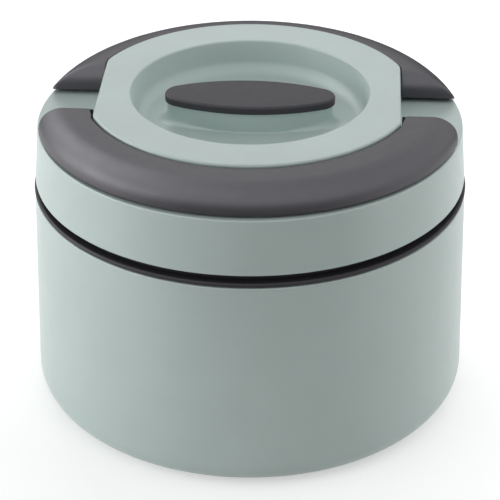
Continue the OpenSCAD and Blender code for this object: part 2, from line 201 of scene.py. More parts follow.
class HandleSizes(bpy.types.PropertyGroup):
    """Sizes of the two folding handles."""
    inner_gap: length("Inner gap", "Gap between the raised middle and the handles", 0.7 * MM)
    side_gap: length("Side gap", "Gap between the flats and the handles' ends", 0.4 * MM)
    notch_width: length("Notch width", "Width that the inner corners are cut back by", 1.6 * MM)
    notch_length: length("Notch length", "Length of the cut at the inner corners", 6 * MM)
    notch_depth: length("Notch depth", "Depth of the cut below the handles' top", 5 * MM)
    notch_hook: length("Notch hook", "Thickness of the wall that closes the cut at the end", 0.6 * MM)
    outer_inset: length("Outer inset", "Distance of the outer edge's middle from the solid's edge", 0.6 * MM)
    widening: length("Widening", "How much further out the handles reach at their ends", 1.6 * MM)
    tip_round: length("Tip round", "Radius of the outer corners in plan", 2 * MM)
    front_level: length("Front level", "Width of the front handle's level top", 8.3 * MM)
    front_edge: length("Front edge", "Height of the front handle's outer edge", 2.1 * MM)
    rear_level: length("Rear level", "Width of the rear handle's level top", 0.3 * MM)
    rear_edge: length("Rear edge", "Height of the rear handle's outer edge", 1.2 * MM)
    rear_end_round: length("Rear end round", "Radius of the upper edge at the rear handle's ends", 7.2 * MM)
    end_blend: length("End blend", "Softness of the line where that round meets the top", 1.6 * MM)
    edge_round: length("Edge round", "Radius of the handles' long upper edges", 0.6 * MM)
    edge_share: factor("Edge share", "Most of the height there that an upper edge's round may take", 0.8)
    foot_round: length("Foot round", "Radius of the handles' lower edges", 0.1 * MM)
    foot_step: factor("Foot step", "Height of the step under the outer edge as a share of that edge", 0.4)
    foot_undercut: length("Foot undercut", "Depth of the step under the outer edge", 1.2 * MM)
    turn_gap: length("Turn gap", "Gap that the turning ends keep above the ledge", 0.3 * MM)
    plate_margin: length("Plate margin", "Distance from the inner edge to the underside plate", 3 * MM)
    plate_depth: length("Plate depth", "Depth of the pocket for the underside plate", 1.65 * MM)
    plate_fit: length("Plate fit", "Gap round the underside plate", 0.15 * MM)
    spine_end: angle("Spine end", "Angle from the middle to the end of the spine of the mesh", 63)


class Finishes(bpy.types.PropertyGroup):
    """Colours and gloss of the materials."""
    sage: colour("Sage plastic", "Grey-green of the shell and the lid", (0.487, 0.58, 0.558))
    sage_roughness: factor("Sage roughness", "Roughness of the grey-green plastic", 0.33)
    graphite: colour("Handle plastic", "Dark grey of the handles", (0.024, 0.023, 0.026))
    graphite_roughness: factor("Handle roughness", "Roughness of the handles' plastic", 0.47)
    graphite_gloss: factor("Handle gloss", "Mirror strength of the handles' plastic", 0.88)
    graphite_tint: colour("Dark gloss", "Tint of the dark plastics' gloss", (0.94, 0.92, 1.0))
    collar: colour("Collar plastic", "Dark grey of the collar and the base", (0.022, 0.021, 0.024))
    pad: colour("Pad plastic", "Dark grey of the grip pad", (0.042, 0.040, 0.045))
    pad_gloss: factor("Pad gloss", "Mirror strength of the pad's plastic", 0.27)
    steel: colour("Steel", "Brushed steel of the bowl and the screws", (0.68, 0.67, 0.66))
    silicone: colour("Silicone", "Seal and gasket", (0.62, 0.64, 0.63))
    liner: colour("Liner plastic", "Inner moulding of the lid", (0.40, 0.44, 0.43))
    liner_roughness: factor("Liner roughness", "Roughness of the liner's plastic", 0.42)
    foam: colour("Foam", "Insulation", (0.84, 0.79, 0.64))


class StageSettings(bpy.types.PropertyGroup):
    """Camera, lamps and floor."""
    lens: FloatProperty(name="Lens", description="Focal length", default=147.28, unit="CAMERA")
    camera_turn: angle("Camera turn", "Turn of the camera round the jar, from the front", 3.21)
    camera_pitch: angle("Camera pitch", "How far the camera looks down", 29.93)
    camera_distance: length("Camera distance", "Level distance from the jar's axis to the camera", 0.7225)
    camera_height: length("Camera height", "Height of the camera above the table", 0.4712)
    left_power: power("Left lamp", "Power of the low lamp on the left", 4.7)
    high_power: power("High lamp", "Power of the high lamp behind on the left, for gloss alone", 4.2)
    right_power: power("Right lamp", "Power of the lamp on the right", 5.2)
    top_power: power("Top lamp", "Power of the wide lamp overhead", 2.3)
    rear_power: power("Rear lamp", "Power of the low lamp behind", 4.7)
    front_power: power("Front lamp", "Power of the high lamp in front on the left", 0.6)
    ambient: strength("Ambient", "Strength of the light from all round", 0.235)
    front_backdrop: strength("Front backdrop", "White backdrop in front, seen or mirrored", 2.0)
    rear_backdrop: strength("Rear backdrop", "White backdrop behind, seen or mirrored", 1.0)
    floor_colour: colour("Floor", "Pale floor", (0.72, 0.72, 0.72))
    floor_glow: strength("Floor glow", "White that the camera and reflections see on the floor", 0.45)


class FoodJar(bpy.types.PropertyGroup):
    """All settings of the food jar."""
    body: PointerProperty(type=JarSizes)
    lid: PointerProperty(type=LidSizes)
    handles: PointerProperty(type=HandleSizes)
    finishes: PointerProperty(type=Finishes)
    stage: PointerProperty(type=StageSettings)


# Profiles and grids

def arc(centre, radius, start, end, steps=10):
    """Arc in the section plane: centre + radius * (cos a, sin a), a from start to end in degrees."""
    turn = np.radians(np.linspace(start, end, steps + 1))
    return np.column_stack([centre[0] + radius * np.cos(turn), centre[1] + radius * np.sin(turn)])


def chain(*stretches):
    """One row of points from single points and arcs."""
    return np.vstack([np.atleast_2d(stretch) for stretch in stretches])


def hold(rows, gap=0.25 * MM):
    """Adds a row close to both ends of each long step, so that flats stay flat beside small rounds."""
    step = np.diff(rows, axis=0)
    span = np.linalg.norm(step, axis=-1).reshape(len(step), -1).mean(axis=1)
    short = span <= 4 * gap
    near = np.where(short, 0, gap / np.maximum(span, gap))
    places = np.stack([np.zeros_like(near), near, 1 - near], axis=1)
    keep = np.ones(places.shape, bool)
    keep[short, 1:] = False
    spread = rows[:-1, None] + step[:, None] * places.reshape(places.shape + (1,) * (rows.ndim - 1))
    return np.concatenate([spread[keep], rows[-1:]])


def polar(turn, radius, height):
    """Rows of points (radius cos turn, radius sin turn, height).

    Radius and height are given for each row, or for each row and column.
    """
    radius = np.broadcast_to(radius, (len(height), len(turn)))
    level = np.broadcast_to(np.asarray(height).reshape(len(height), -1), radius.shape)
    return np.stack([radius * np.cos(turn), radius * np.sin(turn), level], axis=-1)


def even_turns(count):
    """Angles at even steps round a full turn."""
    return np.linspace(0, 2 * np.pi, count, endpoint=False)


def revolve(profile):
    """Surface of revolution of a profile of (radius, height) points round the Z axis."""
    rows = hold(profile)
    return polar(even_turns(COLUMNS), rows[:, :1], rows[:, 1])


def quads(rows, columns):
    """Corner numbers of the quads of a grid whose last column meets its first."""
    number = np.arange(rows * columns).reshape(rows, columns)
    number = np.hstack([number, number[:, :1]])
    corners = [number[:-1, :-1], number[:-1, 1:], number[1:, 1:], number[1:, :-1]]
    return np.stack(corners, axis=-1).reshape(-1, 4)


def make_piece(name, grids, body, slot, stands_for=(), look=None):
    """One closed piece from grids of points (rows, columns, 3), in the look of its slot or another.

    Doubles at seams and poles are merged, and the faces turned outwards and shaded smooth.
    """
    counts = [grid.shape[0] * grid.shape[1] for grid in grids]
    firsts = np.concatenate([[0], np.cumsum(counts)])
    points = np.concatenate([grid.reshape(-1, 3) for grid in grids])
    faces = np.concatenate([quads(*grid.shape[:2]) + first for grid, first in zip(grids, firsts)])
    mesh = bpy.data.meshes.new(name)
    mesh.from_pydata(points.tolist(), [], faces.tolist())
    shell = bmesh.new()
    shell.from_mesh(mesh)
    bmesh.ops.remove_doubles(shell, verts=shell.verts, dist=WELD)
    bmesh.ops.recalc_face_normals(shell, faces=shell.faces)
    shell.to_mesh(mesh)
    shell.free()
    mesh.shade_smooth()
    mesh.set_sharp_from_angle(angle=CREASE)
    mesh.materials.append(finish(look or slot))
    piece = bpy.data.objects.new(name, mesh)
    bpy.context.scene.collection.objects.link(piece)
    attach(piece, body)
    if stands_for:
        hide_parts(*stands_for)
    return piece


# Finishes

class Graph:
    """A material's node tree, with short calls for the nodes that the finishes share."""

    def __init__(self, name):
        self.material = bpy.data.materials.new(name)
        self.material.use_nodes = True
        self.nodes = self.material.node_tree.nodes
        self.links = self.material.node_tree.links
        self.shader = self.nodes["Principled BSDF"]
        self.place = self.nodes.new("ShaderNodeTexCoord").outputs["Object"]

    def noise(self, scale, detail=2, vector=None):
        """Noise from 0 to 1 on the object's own coordinates, scale in waves a metre."""
        node = self.nodes.new("ShaderNodeTexNoise")
        node.inputs["Scale"].default_value = scale
        node.inputs["Detail"].default_value = detail
        self.links.new(vector or self.place, node.inputs["Vector"])
        return node.outputs["Fac"]

    def spread(self, value, low, high, begin=0.3, end=0.7):
        """Value from begin to end mapped to low to high."""
        node = self.nodes.new("ShaderNodeMapRange")
        node.inputs["From Min"].default_value = begin
        node.inputs["From Max"].default_value = end
        node.inputs["To Min"].default_value = low
        node.inputs["To Max"].default_value = high
        self.links.new(value, node.inputs["Value"])
        return node.outputs["Result"]

    def tint(self, base, value):
        """The base colour made darker or lighter by value."""
        node = self.nodes.new("ShaderNodeHueSaturation")
        node.inputs["Color"].default_value = (*base, 1)
        self.links.new(value, node.inputs["Value"])
        self.links.new(node.outputs["Color"], self.shader.inputs["Base Color"])

    def bump(self, height, strength, distance):
        """Fine relief from a height map."""
        node = self.nodes.new("ShaderNodeBump")
        node.inputs["Strength"].default_value = strength
        node.inputs["Distance"].default_value = distance
        self.links.new(height, node.inputs["Height"])
        self.links.new(node.outputs["Normal"], self.shader.inputs["Normal"])

    def set(self, **values):
        """Constant values on the shader's own sockets."""
        for socket, value in values.items():
            self.shader.inputs[socket.replace("_", " ")].default_value = value


def moulded_plastic(name, base, roughness, grain=2400, relief=0.05, gloss=0.5, gloss_tint=(1, 1, 1)):
    """Satin moulded plastic: faint clouds in the colour, uneven gloss and a fine spark-eroded grain."""
    graph = Graph(name)
    graph.tint(base, graph.spread(graph.noise(38, 3), 0.975, 1.025))
    graph.links.new(graph.spread(graph.noise(210, 4), roughness - 0.035, roughness + 0.035),
                    graph.shader.inputs["Roughness"])
    graph.bump(graph.noise(grain, 2), relief, 0.03 * MM)
    graph.set(Specular_IOR_Level=gloss, Specular_Tint=(*gloss_tint, 1), IOR=1.49)
    return graph.material


def brushed_steel(name, base):
    """Spun steel: fine rings round the axis, noise read from the distance to the axis and the height."""
    graph = Graph(name)
    split = graph.nodes.new("ShaderNodeSeparateXYZ")
    graph.links.new(graph.place, split.inputs["Vector"])
    radius = graph.nodes.new("ShaderNodeVectorMath")
    radius.operation = "LENGTH"
    flat = graph.nodes.new("ShaderNodeCombineXYZ")
    graph.links.new(split.outputs["X"], flat.inputs["X"])
    graph.links.new(split.outputs["Y"], flat.inputs["Y"])
    graph.links.new(flat.outputs["Vector"], radius.inputs[0])
    rings = graph.nodes.new("ShaderNodeCombineXYZ")
    graph.links.new(radius.outputs["Value"], rings.inputs["X"])
    graph.links.new(split.outputs["Z"], rings.inputs["Y"])
    lines = graph.noise(2600, 3, rings.outputs["Vector"])
    graph.tint(base, graph.spread(lines, 0.93, 1.04))
    graph.links.new(graph.spread(lines, 0.2, 0.34), graph.shader.inputs["Roughness"])
    graph.bump(lines, 0.12, 0.02 * MM)
    graph.set(Metallic=1.0)
    return graph.material


def soft_silicone(name, base):
    """Matt silicone: faint clouds and a dusty, slightly uneven surface."""
    graph = Graph(name)
    graph.tint(base, graph.spread(graph.noise(90, 3), 0.96, 1.03))
    graph.links.new(graph.spread(graph.noise(600, 3), 0.5, 0.62), graph.shader.inputs["Roughness"])
    graph.bump(graph.noise(1800, 2), 0.15, 0.03 * MM)
    graph.set(Specular_IOR_Level=0.4, IOR=1.41)
    return graph.material


def rigid_foam(name, base):
    """Rigid foam: small closed cells as relief and as darker walls."""
    graph = Graph(name)
    cells = graph.nodes.new("ShaderNodeTexVoronoi")
    cells.inputs["Scale"].default_value = 900
    graph.links.new(graph.place, cells.inputs["Vector"])
    graph.tint(base, graph.spread(cells.outputs["Distance"], 1.04, 0.86, 0, 0.8))
    graph.links.new(graph.spread(graph.noise(500, 2), 0.8, 0.95), graph.shader.inputs["Roughness"])
    graph.bump(cells.outputs["Distance"], 0.5, 0.3 * MM)
    graph.set(Specular_IOR_Level=0.2)
    return graph.material


def finish(slot):
    """The material of a slot, made on first use from the settings."""
    name = slot + "_finish"
    known = bpy.data.materials.get(name)
    if known:
        return known
    look = bpy.context.scene.food_jar.finishes
    dark = {
        "dark_plastic": (look.graphite, look.graphite_gloss),
        "collar_plastic": (look.collar, look.pad_gloss),
        "pad_plastic": (look.pad, look.pad_gloss),
    }
    if slot in dark:
        base, gloss = dark[slot]
        return moulded_plastic(name, base, look.graphite_roughness, grain=2800, relief=0.12, gloss=gloss,
                               gloss_tint=look.graphite_tint)
    if slot == "sage_plastic":
        return moulded_plastic(name, look.sage, look.sage_roughness)
    if slot == "liner_plastic":
        return moulded_plastic(name, look.liner, look.liner_roughness)
    if slot == "steel":
        return brushed_steel(name, look.steel)
    if slot == "silicone":
        return soft_silicone(name, look.silicone)
    if slot == "foam":
        return rigid_foam(name, look.foam)
    raise ValueError("no finish for the slot " + slot)


# Jar

def shell_profile(jar):
    """Closed section of the outer shell: top edge, leaning side, base round, underside, inner wall."""
    lip = jar.mouth_round
    side = jar.side_radius
    bend = jar.base_round
    wall = jar.shell_wall
    hole = jar.base_hole
    nick = jar.cover_round
    return chain(
        arc((jar.mouth_radius - lip, jar.height - lip), lip, 90, 0, 6),
        arc((side - bend, bend), bend, 0, -90, 24),
        arc((hole + nick, nick), nick, 270, 180, 5),
        (hole, wall),
        arc((side - bend, bend), bend - wall, -90, 0, 16),
        (jar.mouth_radius - wall, jar.height),
        (jar.mouth_radius - lip, jar.height),
    )


def base_cover_profile(jar):
    """Section of the base cover: a disc in the shell's opening, with one groove, on a wider disc above."""
    low = foot("base_cover")
    high = top("base_cover")
    rim = reach("base_cover")
    disc = jar.base_hole - FIT
    edge = jar.cover_round
    ring = jar.cover_ring
    groove = jar.cover_groove
    return chain(
        (0, low),
        arc((ring - 2 * groove, low + groove / 2), groove / 2, -90, 0, 4),
        (ring - 1.5 * groove, low + groove),
        (ring + 1.5 * groove, low + groove),
        arc((ring + 2 * groove, low + groove / 2), groove / 2, 180, 270, 4),
        arc((disc - edge, low + edge), edge, -90, 0, 5),
        (disc, jar.shell_wall),
        (rim, jar.shell_wall),
        (rim, high),
        (0, high),
    )


def collar_profile(jar):
    """Closed section of the collar: skirt, groove, bead, slot, neck and the seat of the bowl's flange."""
    skirt = jar.mouth_radius - jar.shell_wall - FIT
    groove = jar.mouth_radius - jar.groove_depth
    bead = jar.bead_radius
    bend = jar.bead_round
    low = jar.height + jar.bead_gap
    seat = low + jar.bead_height
    slot = seat - jar.slot_height
    neck = jar.neck_radius
    bore = neck - jar.neck_wall
    crown = top("collar")
    lip = jar.neck_round
    hole = bore - jar.seat_width
    return chain(
        (skirt - jar.collar_wall, foot("collar")),
        (skirt, foot("collar")),
        (skirt, jar.height),
        (groove, jar.height),
        (groove, low),
        arc((bead - bend, low + bend), bend, -90, 0, 10),
        arc((bead - bend, slot - bend), bend, 0, 90, 10),
        (bead - jar.slot_depth, slot),
        (bead - jar.slot_depth, seat),
        arc((neck + lip, seat + lip), lip, 270, 180, 6),
        arc((neck - lip, crown - lip), lip, 0, 90, 6),
        arc((bore + lip, crown - lip), lip, 90, 180, 6),
        (bore, seat),
        (hole, seat),
        (hole, jar.height),
        (skirt - jar.collar_wall, jar.height),
        (skirt - jar.collar_wall, foot("collar")),
    )


def thread_ridge(jar, start):
    """One thread ridge: an ellipse carried along a helix on the neck, drawn to a point at both ends."""
    along = np.linspace(0, 1, 97)[:, None]
    across = even_turns(16)[None, :]
    fade = 0.1
    size = np.sin(np.clip(np.minimum(along, 1 - along) / fade, 0, 1) * np.pi / 2)
    turn = start + jar.thread_span * along
    rise = jar.thread_lead * jar.thread_span / (2 * np.pi)
    middle = (jar.height + jar.bead_gap + jar.bead_height + top("collar")) / 2
    radius = jar.neck_radius + jar.thread_proud * size * np.cos(across)
    height = middle + rise * (along - 0.5) + jar.thread_width / 2 * size * np.sin(across)
    return np.stack([radius * np.cos(turn), radius * np.sin(turn), height], axis=-1)


def bowl_profile(jar):
    """Section of the steel bowl: inside, flange and outside, with the sheet's thickness between them."""
    rim = top("inner_bowl")
    low = foot("inner_bowl")
    edge = reach("inner_bowl")
    sheet = jar.bowl_wall
    inside = edge - jar.flange_width
    bend = jar.bowl_round
    lip = jar.flange_round
    half = sheet / 2
    return chain(
        (0, low + sheet),
        arc((inside - bend, low + sheet + bend), bend, -90, 0, 20),
        arc((inside + lip, rim - lip), lip, 180, 90, 8),
        arc((edge - half, rim - half), half, 90, -90, 8),
        arc((inside + sheet + half, rim - sheet - half), half, 90, 180, 5),
        arc((inside - bend, low + sheet + bend), bend + sheet, 0, -90, 20),
        (0, low),
    )


# Lid

def lid_turns(lid):
    """Angles of the lid's columns: even steps, with more of them at the four corners of the raised middle."""
    corner = math.acos(lid.middle_flat / lid.middle_radius)
    near = np.radians(np.concatenate([-np.geomspace(0.15, 1.4, 6), np.geomspace(0.15, 1.4, 6), [0]]))
    corners = np.array([corner, np.pi - corner, np.pi + corner, 2 * np.pi - corner])
    return np.unique(np.concatenate([even_turns(LID_COLUMNS), (corners[:, None] + near).ravel()]))


def middle_plan(lid, turn, inset):
    """Plan of the raised middle: the smaller of radius and flat / |cos|, less inset, softly blended."""
    inset = np.asarray(inset)[:, None]
    round_part = np.broadcast_to(lid.middle_radius - inset, (len(inset), len(turn)))
    flat_part = (lid.middle_flat - inset) / np.maximum(np.abs(np.cos(turn)), 1e-3)
    blend = lid.middle_blend
    return -blend * np.logaddexp(-round_part / blend, -flat_part / blend)


def grip_plan(lid, turn, inset):
    """Oval plan of the grip by distance from its middle: the ray meets an end arc or one of two wide arcs."""
    half_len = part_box("grip_pad")[1].x
    half_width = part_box("grip_pad")[1].y
    inset = np.asarray(inset).reshape(len(inset), -1)
    ray_x = np.abs(np.cos(turn))
    ray_y = np.abs(np.sin(turn))
    end = lid.pad_end
    end_x = half_len - end
    wide = (end_x ** 2 / (half_width - end) + end + half_width) / 2
    centre = half_width - wide
    on_wide = ray_y * centre + np.sqrt((wide - inset) ** 2 - (ray_x * centre) ** 2)
    on_end = ray_x * end_x + np.sqrt(np.maximum((end - inset) ** 2 - (ray_y * end_x) ** 2, 0))
    share = (wide - inset) / (wide - end)
    join = np.arctan2(centre - centre * share, end_x * share)
    return np.where(np.arctan2(ray_y, ray_x) < join, on_end, on_wide)


def lid_cover_grid(lid):
    """The lid cover's skin in one stack of rings.

    From the axis outwards: web top, web wall and its flare, the well's floor, cove and wall, the raised
    middle and its wall, the ledge, the side, and back along the inside to the axis.
    """
    turn = lid_turns(lid)
    peak = top("lid_cover")
    ledge = peak - lid.middle_height
    floor = peak - lid.well_depth
    low = foot("lid_cover")
    shelf = foot("grip_pad")
    lean = lid.well_lean
    tip = math.degrees(lean)

    bend = lid.web_round
    brow = arc((0, shelf - bend), bend, 90, 0, 5)
    brow = polar(turn, grip_plan(lid, turn, lid.web_inset + bend - brow[:, 0]), brow[:, 1])
    sweep = lid.web_flare + lid.web_sweep * np.cos(turn) ** 12
    flare = 1 + arc((0, 0), 1, 180, 270, 10)
    flare_plan = grip_plan(lid, turn, lid.web_inset - sweep * flare[:, :1])
    flare = polar(turn, flare_plan, floor + sweep * flare[:, 1:])
    web = np.concatenate([brow, flare])

    cove = lid.well_cove
    drop = peak - floor - cove + cove * math.sin(lean)
    cove_x = lid.well_radius - drop * math.tan(lean) - cove * math.cos(lean)
    rim = lid.edge_round
    rim_x = lid.well_radius + rim * (1 / math.cos(lean) - math.tan(lean))
    well = chain(
        arc((cove_x, floor + cove), cove, -90, -tip, 14),
        arc((rim_x, peak - rim), rim, 180 - tip, 90, 8),
    )
    well = polar(turn, well[:, :1], well[:, 1])

    edge = arc((0, peak - rim), rim, 90, 0, 8)
    foot_cove = arc((0, ledge + lid.foot_cove), lid.foot_cove, 180, 270, 4)
    middle_in = np.concatenate([rim - edge[:, 0], -lid.foot_cove - foot_cove[:, 0]])
    middle = polar(turn, middle_plan(lid, turn, middle_in), np.concatenate([edge[:, 1], foot_cove[:, 1]]))

    slope = math.degrees(math.atan2(lid.taper, ledge - low))
    ledge_radius = lid.radius - lid.taper
    bend = lid.rim_round
    lip = lid.foot_round
    inside = lid.radius - lid.wall
    roof = min(ledge, floor) - lid.wall
    side = chain(
        arc((ledge_radius - bend, ledge - bend), bend, 90, slope, 8),
        arc((lid.radius - lip, low + lip), lip, slope, -90, 6),
        (inside, low),
        (ledge_radius - lid.wall, roof),
        (0, roof),
    )
    side = polar(turn, side[:, :1], side[:, 1])
    return hold(np.concatenate([polar(turn, 0, [shelf]), web, well, middle, side]))


def pad_grid(lid):
    """The grip pad on its oval plan: a low crown, a rounded edge, an upright side and a flat underside."""
    turn = even_turns(PAD_COLUMNS)
    peak = top("grip_pad")
    low = foot("grip_pad")
    edge = lid.pad_edge
    share = np.linspace(0, 1, 14)
    crown = polar(turn, share[:, None] * grip_plan(lid, turn, [edge]), peak - lid.pad_crown * share ** 2)
    round_edge = arc((0, peak - lid.pad_crown - edge), edge, 84, 0, 9)
    bend = lid.pad_foot
    under = arc((0, low + bend), bend, 0, -90, 4)
    inset = np.concatenate([edge - round_edge[:, 0], bend - under[:, 0]])
    side = polar(turn, grip_plan(lid, turn, inset), np.concatenate([round_edge[:, 1], under[:, 1]]))
    return hold(np.concatenate([crown, side, polar(turn, 0, [low])]))


def seal_profile(lid):
    """Closed section of the lid's seal: a square back, a waist and two round lips below."""
    outer = reach("lid_seal")
    inner = -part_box("lid_seal")[0].x - lid.seal_width
    low = foot("lid_seal")
    high = top("lid_seal")
    lip = lid.seal_lip
    bevel = lid.seal_bevel
    half = (low + high) / 2
    return chain(
        (inner + bevel, high),
        (inner, high - bevel),
        (inner + lid.seal_waist, half),
        arc((inner + lip, low + lip), lip, 180, 360, 12),
        ((inner + outer) / 2, low + 1.4 * lip),
        arc((outer - lip, low + lip), lip, 180, 360, 12),
        (outer - lid.seal_waist, half),
        (outer, high - bevel),
        (outer - bevel, high),
        (inner + bevel, high),
    )


# Handles

def even_steps(points, count):
    """Count points at even steps along a line of points."""
    span = np.concatenate([[0], np.cumsum(np.linalg.norm(np.diff(points, axis=0), axis=1))])
    at = np.linspace(0, span[-1], count)
    return np.column_stack([np.interp(at, span, points[:, 0]), np.interp(at, span, points[:, 1])])


def both_sides(right):
    """A line from the left, mirrored, to the right, which runs from the middle outwards."""
    return np.vstack([right[::-1] * [-1, 1], right])


class HandlePlan:
    """Plan of the front handle: its outline, the pocket for its plate and the spine that its rows close on.

    An outline has LONG points along each long edge and SHORT points at each end.
    """
    LONG = 300
    SHORT = 60

    def __init__(self, sizes, lid, notch):
        lowest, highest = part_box("front_handle")
        plate_low, plate_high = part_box("front_handle_plate")
        pin_low, pin_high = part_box("front_hinge_pins")
        self.low = lowest.z
        self.crown = highest.z
        self.outer = -lowest.y - sizes.outer_inset
        self.end = -highest.y
        self.hinge = -(pin_low.y + pin_high.y) / 2
        self.hinge_height = (pin_low.z + pin_high.z) / 2
        self.turn_radius = self.hinge_height - (top("lid_cover") - lid.middle_height) - sizes.turn_gap
        self.inner = lid.middle_radius + sizes.inner_gap
        self.side = lid.middle_flat + sizes.side_gap
        self.notch = notch
        self.sizes = sizes
        fit = sizes.plate_fit
        self.plate_inner = self.inner + sizes.plate_margin - fit
        self.plate_outer = -plate_low.y + fit
        self.plate_end = -plate_high.y - fit
        self.outline = self.soften(self.loop(self.inner_line(), self.end_line(), self.outer_line()))
        self.foot_outline = self.outline - self.notch_shift()
        self.pocket = self.pocket_loop()
        self.spine = self.spine_loop()

    def flank(self, y):
        """Distance of the end's inner flank from the plane x = 0: straight, then cut back to the end."""
        cut = np.clip((y + self.end + self.sizes.notch_length) / self.sizes.notch_length, 0, 1)
        return self.side + self.notch * cut

    def outer_radius(self, x, y):
        """Radius of the outer edge in the direction of x, y: least in the middle, more towards the ends."""
        return self.outer + self.sizes.widening * x ** 2 / (x ** 2 + y ** 2)

    def notch_shift(self):
        """What takes the outline back to the uncut corners: all of the cut at the flank, none at the tip."""
        x, y = self.outline.T
        tip = self.tip_centre()[0]
        share = np.clip((tip - np.abs(x)) / (tip - self.side - self.notch), 0, 1)
        return np.column_stack([np.sign(x) * (self.flank(y) - self.side) * share, np.zeros(len(x))])

    def underside(self, y):
        """Height of the underside: level, and past the hinge axis a round that turns clear of the ledge."""
        past = np.maximum(y + self.hinge, 0)
        return np.maximum(self.low, self.hinge_height - np.sqrt(self.turn_radius ** 2 - past ** 2))

    def inner_line(self):
        """Right half of the inner edge: an arc, the upright flank and the notch."""
        start = math.degrees(math.acos(self.side / self.inner))
        notch_start = self.end + self.sizes.notch_length
        return chain(arc((0, 0), self.inner, -90, -start, 60), (self.side, -notch_start),
                     (self.side + self.notch, -self.end))

    def tip_centre(self):
        """Centre of the tip's round, which touches the end line and the outer arc."""
        bend = self.sizes.tip_round
        y = -self.end - bend
        reach_there = self.outer_radius(math.sqrt(self.outer ** 2 - y ** 2), y)
        return math.sqrt((reach_there - bend) ** 2 - y ** 2), y

    def end_line(self):
        """The right end: the end line and the tip's round, up to the outer arc."""
        x, y = self.tip_centre()
        stop = math.degrees(math.atan2(y, x))
        return chain((self.side + self.notch, -self.end), arc((x, y), self.sizes.tip_round, 90, stop, 16))

    def outer_line(self):
        """Right half of the outer edge."""
        x, y = self.tip_centre()
        line = arc((0, 0), 1, -90, math.degrees(math.atan2(y, x)), 60)
        return line * self.outer_radius(*line.T)[:, None]

    def loop(self, inner, end, outer):
        """A closed outline: inner edge to the right, right end, outer edge back to the left, left end."""
        right_end = even_steps(end, self.SHORT + 2)[1:-1]
        return np.vstack([
            even_steps(both_sides(inner), self.LONG),
            right_end,
            even_steps(both_sides(outer), self.LONG)[::-1],
            right_end[::-1] * [-1, 1],
        ])

    def soften(self, outline, passes=2):
        """The outline with slightly rounded corners: each point is half itself and half its neighbours."""
        for _ in range(passes):
            outline = (np.roll(outline, 1, 0) + 2 * outline + np.roll(outline, -1, 0)) / 4
        return outline

    def pocket_loop(self):
        """Outline of the plate's pocket, with as many points as the handle's outline."""
        inner_x = math.sqrt(self.plate_inner ** 2 - self.plate_end ** 2)
        outer_x = math.sqrt(self.plate_outer ** 2 - self.plate_end ** 2)
        inner_stop = math.degrees(math.atan2(-self.plate_end, inner_x))
        outer_stop = math.degrees(math.atan2(-self.plate_end, outer_x))
        end = np.array([[inner_x, -self.plate_end], [outer_x, -self.plate_end]])
        return self.loop(arc((0, 0), self.plate_inner, -90, inner_stop, 60), end,
                         arc((0, 0), self.plate_outer, -90, outer_stop, 60))

    def spine_loop(self):
        """For each point of the outline its point on the spine, an arc in the middle of the plate."""
        stop = -90 + math.degrees(self.sizes.spine_end)
        line = both_sides(arc((0, 0), (self.plate_inner + self.plate_outer) / 2, -90, stop, 60))
        line = even_steps(line, self.LONG)
        right_end = np.repeat(line[-1:], self.SHORT, 0)
        return np.vstack([line, right_end, line[::-1], right_end * [-1, 1]])


def corner_distance(one, other, bend):
    """Distance to a corner of two edges that is rounded by bend, from the distances to the edges."""
    inside = bend - np.hypot(np.maximum(bend - one, 0), np.maximum(bend - other, 0))
    return np.where((one < bend) & (other < bend), inside, np.minimum(one, other))


def edge_drop(distance, bend):
    """Loss of height at a rounded edge: bend less the height of a quarter circle at that distance."""
    short = np.clip(bend - distance, 0, bend)
    return bend - np.sqrt(np.maximum(bend ** 2 - short ** 2, 0))


def soft_min(one, other, blend):
    """The smaller of two heights, lowered by up to a quarter of blend where they are nearly equal."""
    near = np.clip(1 - np.abs(one - other) / np.maximum(blend, 1e-9), 0, 1)
    return np.minimum(one, other) - blend / 4 * near ** 2


def handle_height(plan, points, level, edge_height, end_round):
    """Height of a handle's top: level, then one arc down to the outer edge, and rounded at ends and edges."""
    sizes = plan.sizes
    x = np.abs(points[..., 0])
    y = points[..., 1]
    radius = np.hypot(x, y)
    start = plan.inner + level
    outer = plan.outer_radius(x, y)
    drop = plan.crown - plan.low - edge_height
    run = outer - start
    bend = (run ** 2 + drop ** 2) / (2 * drop)
    past = np.clip(radius - start, 0, run)
    height = plan.crown - bend + np.sqrt(bend ** 2 - past ** 2)
    from_outer = np.maximum(outer - radius, 0)
    from_end = np.maximum(-plan.end - y, 0)
    from_inner = np.maximum(np.maximum(radius - plan.inner, x - plan.flank(y)), 0)
    if end_round:
        blend = sizes.end_blend * np.clip(1 - from_end / end_round, 0, 1)
        height = soft_min(height, plan.crown - edge_drop(from_end, end_round), blend)
    rim = np.minimum(sizes.edge_round, sizes.edge_share * (height - plan.low))
    height = height - edge_drop(corner_distance(from_outer, from_end, sizes.tip_round), rim)
    return height - edge_drop(from_inner, sizes.edge_round)


